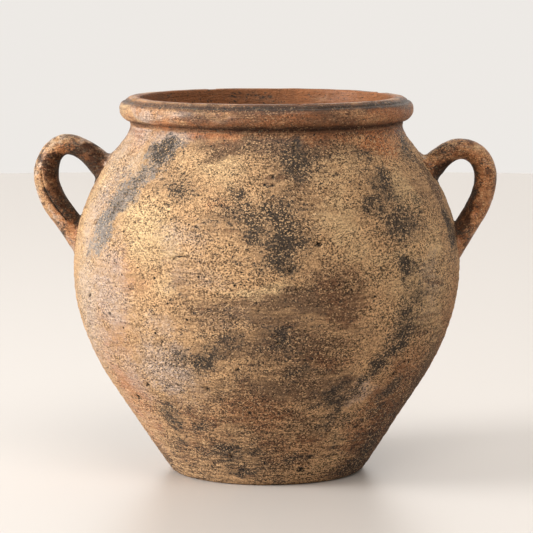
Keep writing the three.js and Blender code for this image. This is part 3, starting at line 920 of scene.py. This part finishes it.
def handle_rings(sign, sizes):
    """Rings of points round a handle, from its upper end in the wall to its lower end."""
    points, along, half_thick = handle_course(sizes)
    from_root = numpy.arange(len(points)) * STATION_SPACING - BURIED
    half_thick += ROOT_FLARE * numpy.exp(-(numpy.clip(from_root, 0, None) / FLARE_LENGTH) ** 2)
    turn = numpy.arange(HANDLE_SIDES) * math.tau / HANDLE_SIDES
    out = half_thick[:, None] * numpy.cos(turn)
    x = points[:, :1] - along[:, 1:] * out
    z = points[:, 1:] + along[:, :1] * out
    y = numpy.broadcast_to(HANDLE_WIDTH / 2 * numpy.sin(turn), out.shape)
    return numpy.stack([sign * x, y, z], axis=2)


# Where the dark stain on a handle ends: share of the way from the upper root to the lower, and how far
# across from the loop's inside (-1) to its outside (1)
STAIN_EDGES = {
    "right": [(0, -0.2), (0.15, -0.7), (0.4, -1.0), (0.6, -0.95), (0.72, -0.15), (0.86, 0.2), (1, -0.1)],
    "left": [(0, 0.5), (0.09, 1.0), (0.15, 1.4), (0.2, 0.4), (0.26, -1.1), (0.34, -0.75),
             (0.42, 0.25), (0.48, 0.32), (0.6, 0.22), (0.85, -0.1), (1, -0.4)],
}
# How pale the outside of each loop is made: a little wear on both, and on the left loop, which faces the
# window, a painted highlight
OUTER_WEAR = {"right": 0.2, "left": 0.85}
CREASE_DEPTH = 1.2
CREASE_HALF_WIDTH = 0.6
CREASE_SPAN = (0.5, 1.04)
CREASE_TAPER = 16
# Lumps left by the fingers, the skin over them and the shrinkage, in millimetres
LUMP, LUMP_WAVES = 0.5, 0.05
SKIN = 0.2
HANDLE_SHRINKAGE = 0.25
# Patterns of the skin and the marks: waves in each millimetre, shift, and the octaves as in GRITTY
SKIN_GRAIN = (0.22, (0, 0, 0), (0.9, 2.1, 3))
BLOTCHES = (0.055, (0, 0, 0), (0.8, 2.0, 3))
SPOTS = (0.16, (5, 2, 9), (0.8, 2.0, 3))
MOTTLES = (0.24, (1, 8, 3), (0.7, 2.1, 3))
MOTTLE_START = 0.12
MOTTLE_RANGE = 0.2
# Distance from the wall over which the pale bloom fades
BLOOM_REACH = 4


def patchy(positions, waves, shift, octaves):
    """How strong a cloudy pattern is at each point, from about -1 to 1."""
    return numpy.array([noise.fractal(Vector(p) * waves + Vector(shift), *octaves) for p in positions])


def handle_place(side_name, positions):
    """Share of the way along a handle, distance across it from its inside (-1) to its outside (1), and
    half its thickness, for each point."""
    sign, *sizes = HANDLES[side_name]
    points, along, half_thick = handle_course(sizes)
    flat = positions[:, [0, 2]] * (sign, 1)
    gaps = (flat[:, :1] - points[:, 0]) ** 2 + (flat[:, 1:] - points[:, 1]) ** 2
    nearest = gaps.argmin(axis=1)
    offset = flat - points[nearest]
    half = half_thick[nearest]
    outward = offset[:, 1] * along[nearest, 0] - offset[:, 0] * along[nearest, 1]
    buried = BURIED / STATION_SPACING
    share = (nearest - buried) / (len(points) - 2 * buried)
    return share, outward / half, half


def handled_weathering(side_name, creased):
    """Weathering for a handle: lumps from the fingers, a stain inside the loop with painted shade along its
    inner edge, a pale bloom against the wall, pale wear on the outside with a painted highlight on the left
    loop and, where creased, a crease along the stain's edge, where the strap was doubled over, with painted
    shade in it."""

    def displace(mesh, positions):
        normals = numpy.empty(len(mesh.vertices) * 3)
        mesh.vertices.foreach_get("normal", normals)
        normals = normals.reshape(-1, 3)
        lumps = LUMP * numpy.array([noise.noise(Vector(p) * LUMP_WAVES) for p in positions])
        lumps += SKIN * patchy(positions, *SKIN_GRAIN) - HANDLE_SHRINKAGE
        blotch = patchy(positions, *BLOTCHES)
        spot = patchy(positions, *SPOTS)
        mottle = numpy.clip((patchy(positions, *MOTTLES) - MOTTLE_START) / MOTTLE_RANGE, 0, 1)
        share, across_it, half = handle_place(side_name, positions)
        edge = numpy.interp(share, *zip(*STAIN_EDGES[side_name]))
        fold = numpy.zeros(len(positions))
        if creased:
            away = (across_it - edge) * half / CREASE_HALF_WIDTH
            begun = numpy.clip((share - CREASE_SPAN[0]) * CREASE_TAPER, 0, 1)
            going = numpy.clip((CREASE_SPAN[1] - share) * CREASE_TAPER, 0, 1)
            fold = CREASE_DEPTH * numpy.exp(-away ** 2) * begun * going * (positions[:, 1] < 0)
        stain = numpy.clip((edge - across_it) / 0.5 + 0.5 + 0.6 * blotch - 0.5 * spot, 0, 1)
        # The loop's inner edge, which the smoke layer darkens as painted shade
        inner = numpy.clip(-across_it - 0.3, 0, 1)
        # Pale outside: wear, with a painted highlight on the left loop
        rubbed = OUTER_WEAR[side_name] * numpy.clip(across_it + 0.3, 0, 1)
        worn = numpy.clip(normals[:, 2] * 0.5 + across_it * 0.3 + spot - 0.3 * stain, 0, 1)
        wall = numpy.interp(positions[:, 2], wall_levels, wall_radii)
        clear = numpy.hypot(positions[:, 0], positions[:, 1]) - wall
        seated = band(numpy.clip(clear, 0, None), 0, BLOOM_REACH)
        paint(
            mesh,
            # Painted shade along the loop's inner edge and in the crease
            smoke=numpy.clip(0.1 * stain + 0.3 * inner + 0.2 * mottle + 0.35 * blotch + 0.5 * fold, 0, 1),
            umber=numpy.clip(1.4 * stain + 0.7 * mottle + 0.3 * blotch - 0.5 * spot - 0.05, 0, 1.6),
            rust=numpy.clip(1 - 0.5 * worn - 0.4 * rubbed, 0, 1),
            flash=numpy.clip(0.58 - 0.3 * worn - 0.5 * stain + 0.4 * spot - 0.4 * rubbed, 0, 1),
            ash=numpy.clip(0.5 * spot + 0.2 * seated + 0.3 * worn + 0.5 * rubbed - 0.15, 0, 1),
            haze=0 * blotch,
            turning=0 * blotch,
            ochre=numpy.clip(0.1 + 0.8 * worn, 0, 1),
            grit=0.75 + 0 * blotch,
            fleck=0.6 - 0.4 * stain,
            burnish=0.6 - 0.5 * stain,
        )
        return positions + normals * (lumps - fold)[:, None]

    return displace


handle_clay = fired_clay("hand_smoothed_terracotta", roughness=0.72, gloss=0.08)
loops = {}
for side_name, (sign, *sizes) in HANDLES.items():
    loops[side_name] = handle_rings(sign, sizes)
    weathering = handled_weathering(side_name, creased=side_name == "left")
    tube = rolled(loops[side_name].tolist(), closed_along=False)
    loop = finished(tube, f"{side_name}_handle_fired", weathering, handle_clay)
    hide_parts(f"{side_name}_handle")

# Handle roots
# Beads of soft clay thumbed round both ends of each handle, and smeared out onto the wall and a little
# way along the handle.

# Whether a bead is at the first end of its handle, how far it runs along it and out onto the wall
ROOTS = {"upper": (True, 11, 4.5), "lower": (False, 12, 2.5)}
ROOT_STEPS = 14
# How far the bead's back lies inside the wall, its edge lies in the handle, and its edges stray
TUCK = 2.5
SUNK = 0.3
RAGGEDNESS = 0.35
RAGGED_WAVES = 1.5
RAGGED_SHIFT = 3.7


def root_bead(rings, sign, from_start, reach, spread):
    """The bead round one end of a handle: a fillet from the handle's skin down to the wall, closed
    through the clay behind it."""
    ordered = rings if from_start else rings[::-1]
    wall = numpy.interp(ordered[:, :, 2], wall_levels, wall_radii)
    outside = numpy.hypot(ordered[:, :, 0], ordered[:, :, 1]) - wall
    rows = [[] for _ in range(ROOT_STEPS + 3)]
    for column in range(HANDLE_SIDES):
        crossing = int(numpy.argmax(outside[:, column] > 0))
        seat = Vector(ordered[crossing, column])
        centre = Vector(ordered[crossing].mean(axis=0))
        turn = column / HANDLE_SIDES * math.tau
        circle = Vector((math.cos(turn) * RAGGED_WAVES, math.sin(turn) * RAGGED_WAVES, sign * RAGGED_SHIFT))
        ragged = 1 + RAGGEDNESS * noise.noise(circle)
        on_handle = Vector(ordered[crossing + round(reach * ragged / STATION_SPACING), column])
        away = (seat - centre).normalized()
        on_wall = seat + away * spread * ragged
        around = Vector((on_wall.x, on_wall.y, 0))
        flat = around.normalized() * float(numpy.interp(on_wall.z, wall_levels, wall_radii))
        on_wall = Vector((flat.x, flat.y, on_wall.z))
        inward = -around.normalized()
        skin = geometry.interpolate_bezier(on_handle - away * SUNK, seat, seat, on_wall, ROOT_STEPS + 1)
        for row, spot in zip(rows, skin):
            row.append(spot)
        rows[ROOT_STEPS + 1].append(on_wall + inward * TUCK)
        rows[ROOT_STEPS + 2].append(seat - away * TUCK + inward * TUCK)
    return rows


for side_name, rings in loops.items():
    for end_name, placing in ROOTS.items():
        rows = root_bead(rings, HANDLES[side_name][0], *placing)
        weathering = handled_weathering(side_name, creased=False)
        bead = finished(rolled(rows, closed_along=True), f"{side_name}_handle_{end_name}_root_fired",
                        weathering, handle_clay)
        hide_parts(f"{side_name}_handle_{end_name}_root")

# Studio
# A wide pale floor under a pale even sky, a large soft window light from the left, a weak fill, a soft
# light from behind, and the camera at the photographed angle.

# Lens and sensor in millimetres, other sizes in metres
CAMERA_DISTANCE = 2.0864
CAMERA_ELEVATION = math.radians(6.859)
CAMERA_AIM = Vector((0, 0, 0.148))
CAMERA_LENS = 194.2
SENSOR_WIDTH = 36
FLOOR_REACH = 2.5
FLOOR_SIDES = 128
FLOOR_COLOUR = (0.59, 0.54, 0.495, 1)
FLOOR_ROUGHNESS = 0.36
FLOOR_GLOSS = 0.35
# Strength of the sky where it lights the scene, and where it is seen or mirrored
LIGHT_SKY = 0.48
SEEN_SKY = 0.85
SEEING_RAYS = ("Camera", "Glossy", "Transmission")
SKY_COLOUR = (1.0, 0.965, 0.925, 1)

floor_form = bmesh.new()
bmesh.ops.create_circle(floor_form, cap_ends=True, segments=FLOOR_SIDES, radius=FLOOR_REACH)
floor_mesh = bpy.data.meshes.new("floor")
floor_form.to_mesh(floor_mesh)
floor_form.free()
pale_floor = bpy.data.materials.new("pale_floor")
pale_floor.use_nodes = True
floor_surface = pale_floor.node_tree.nodes["Principled BSDF"].inputs
floor_surface["Base Color"].default_value = FLOOR_COLOUR
floor_surface["Roughness"].default_value = FLOOR_ROUGHNESS
floor_surface["Specular IOR Level"].default_value = FLOOR_GLOSS
floor_mesh.materials.append(pale_floor)
floor = bpy.data.objects.new("floor", floor_mesh)
bpy.context.scene.collection.objects.link(floor)


def area_light(name, place, aim, size, power, colour):
    """A soft rectangular light that the camera doesn't see."""
    lamp = bpy.data.lights.new(name, "AREA")
    lamp.shape = "RECTANGLE"
    lamp.size, lamp.size_y = size
    lamp.energy = power
    lamp.color = colour
    light = bpy.data.objects.new(name, lamp)
    light.location = place
    light.rotation_euler = (Vector(aim) - Vector(place)).to_track_quat("-Z", "Y").to_euler()
    light.visible_camera = False
    bpy.context.scene.collection.objects.link(light)


area_light("window", place=(-2.6, -0.82, 1.03), aim=(0, 0, 0.15), size=(1.37, 1.64),
           power=130, colour=(0.95, 0.98, 1.0))
area_light("fill", place=(0.6, -2.25, 3.1), aim=(0, -0.1, 0.1), size=(2.4, 1.8),
           power=67, colour=(1.0, 0.97, 0.935))
area_light("behind", place=(0.7, 5.1, 2.0), aim=(0, 0, 0.15), size=(7.5, 3.8),
           power=72, colour=(1.0, 0.965, 0.92))

world = bpy.data.worlds.new("studio")
world.use_nodes = True
sky = Tone(world.node_tree)
seen = sum(sky.node("ShaderNodeLightPath", outlet=f"Is {ray} Ray") for ray in SEEING_RAYS)
sky_strength = LIGHT_SKY + seen * (SEEN_SKY - LIGHT_SKY)
sky_light = world.node_tree.nodes["Background"].inputs
sky_light["Color"].default_value = SKY_COLOUR
world.node_tree.links.new(sky_strength.socket, sky_light["Strength"])
bpy.context.scene.world = world
bpy.context.scene.view_settings.view_transform = "Standard"

side = math.radians(PHOTO_BEARING)
back = Vector((
    math.sin(side) * math.cos(CAMERA_ELEVATION),
    -math.cos(side) * math.cos(CAMERA_ELEVATION),
    math.sin(CAMERA_ELEVATION),
))
lens = bpy.data.cameras.new("camera")
lens.lens = CAMERA_LENS
lens.sensor_width = SENSOR_WIDTH
camera = bpy.data.objects.new("camera", lens)
camera.location = CAMERA_AIM + back * CAMERA_DISTANCE
camera.rotation_euler = (-back).to_track_quat("-Z", "Y").to_euler()
bpy.context.scene.collection.objects.link(camera)
bpy.context.scene.camera = camera
